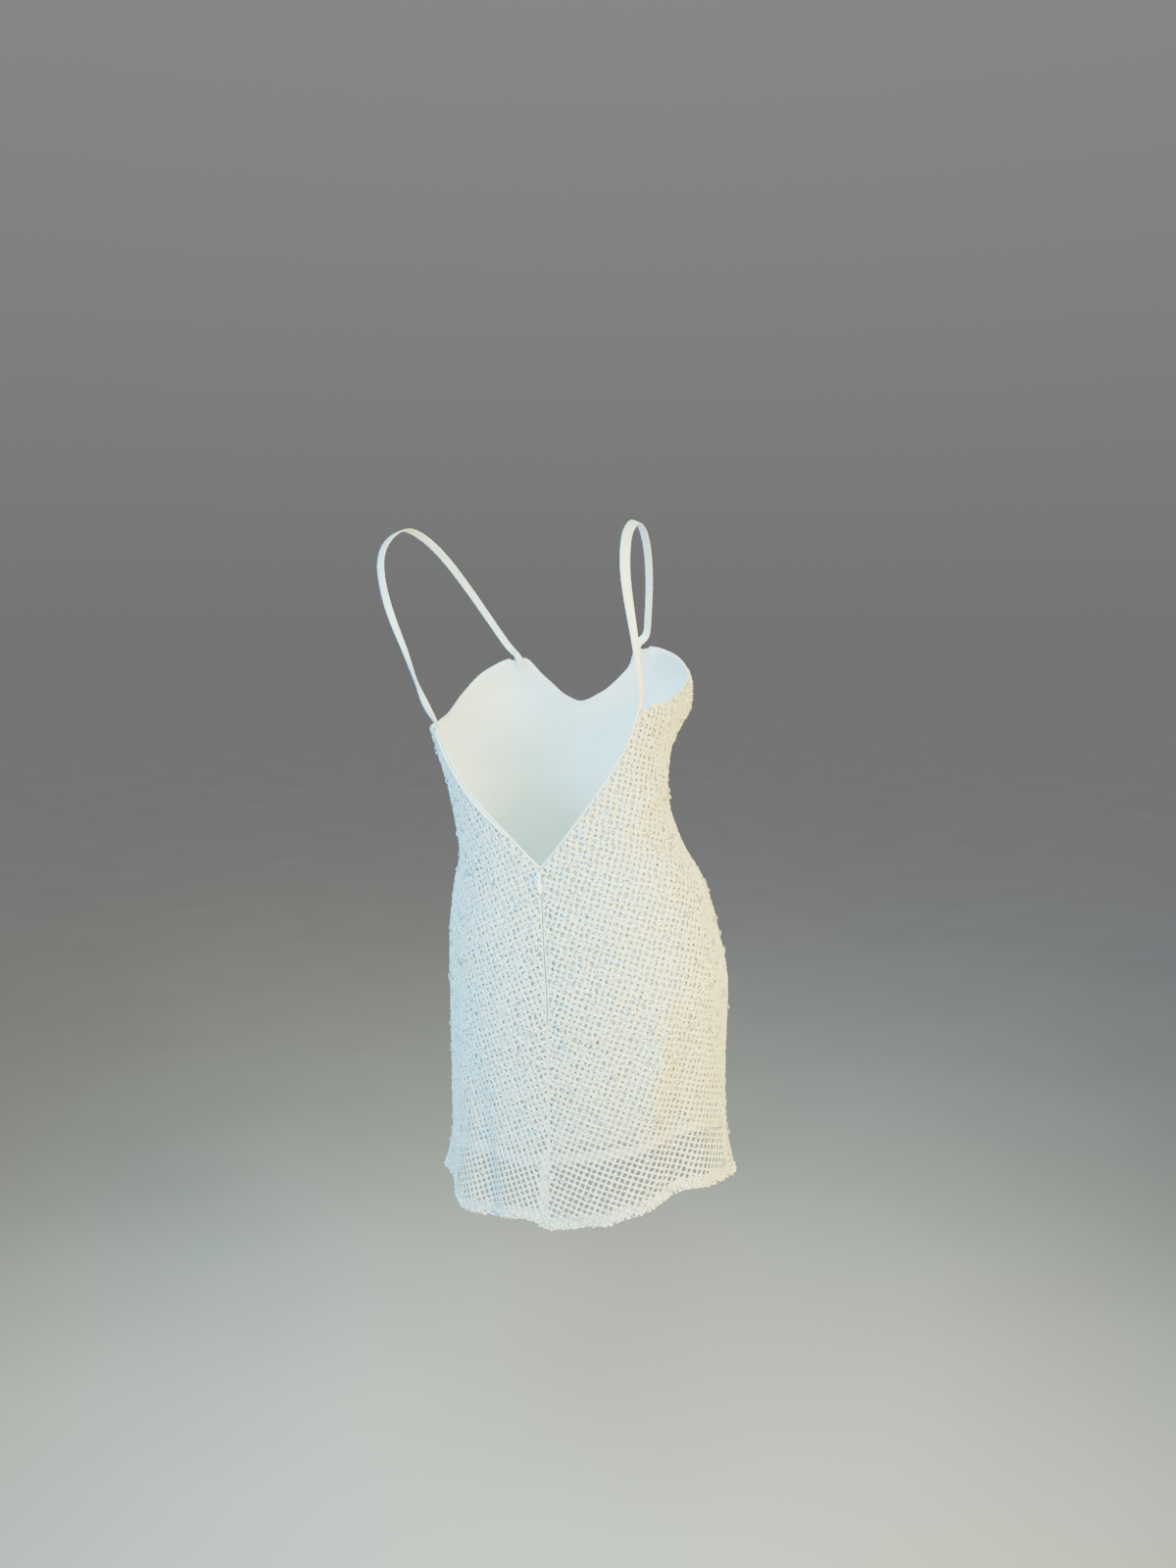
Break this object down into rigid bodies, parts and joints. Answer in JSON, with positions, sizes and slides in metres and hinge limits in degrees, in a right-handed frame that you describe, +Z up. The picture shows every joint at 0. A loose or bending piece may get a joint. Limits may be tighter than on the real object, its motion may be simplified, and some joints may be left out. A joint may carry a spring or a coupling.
{
  "type": "cocktail dress",
  "caption": "Short worn-form slip cocktail dress of open beaded net over a white lining, with thin straps, a deep V back and a short zip with a swinging pull.",
  "frame": {"origin": "midway between the places where the two straps cross the tops of the shoulders", "axes": "+Z up, the wearer faces -Y, the wearer's left is +X"},
  "size_m": [0.4139, 0.2407, 0.8146],
  "materials": {
    "net": "ivory-white beaded net, softly glossy",
    "lining": "smooth white lining, satin sheen",
    "satin": "plain white satin ribbon",
    "zip": "white lacquered zip parts"
  },
  "bodies": {
    "dress": {"back_left": "net", "back_right": "net", "front": "net", "lining_back_left": "lining", "lining_back_right": "lining", "lining_front": "lining", "lining_edging_back_left": "lining", "lining_edging_back_right": "lining", "lining_edging_front": "lining", "edge_roll_v_left": "lining", "edge_roll_v_right": "lining", "edge_roll_armhole_left_back": "lining", "edge_roll_armhole_right_back": "lining", "edge_roll_armhole_left_front": "lining", "edge_roll_armhole_right_front": "lining", "edge_roll_neck": "lining", "strap_left": "satin", "strap_right": "satin", "zip_tape": "zip", "zip_slider": "zip"},
    "zip_pull": {"zip_pull": "zip"}
  },
  "joints": [
    {"name": "pull_swing", "type": "hinge", "parent": "dress", "child": "zip_pull", "pos_m": [-0.05501, 0.06449, -0.39652], "axis": [0.984, 0.0151, -0.1776], "range_deg": [0, 165]}
  ]
}
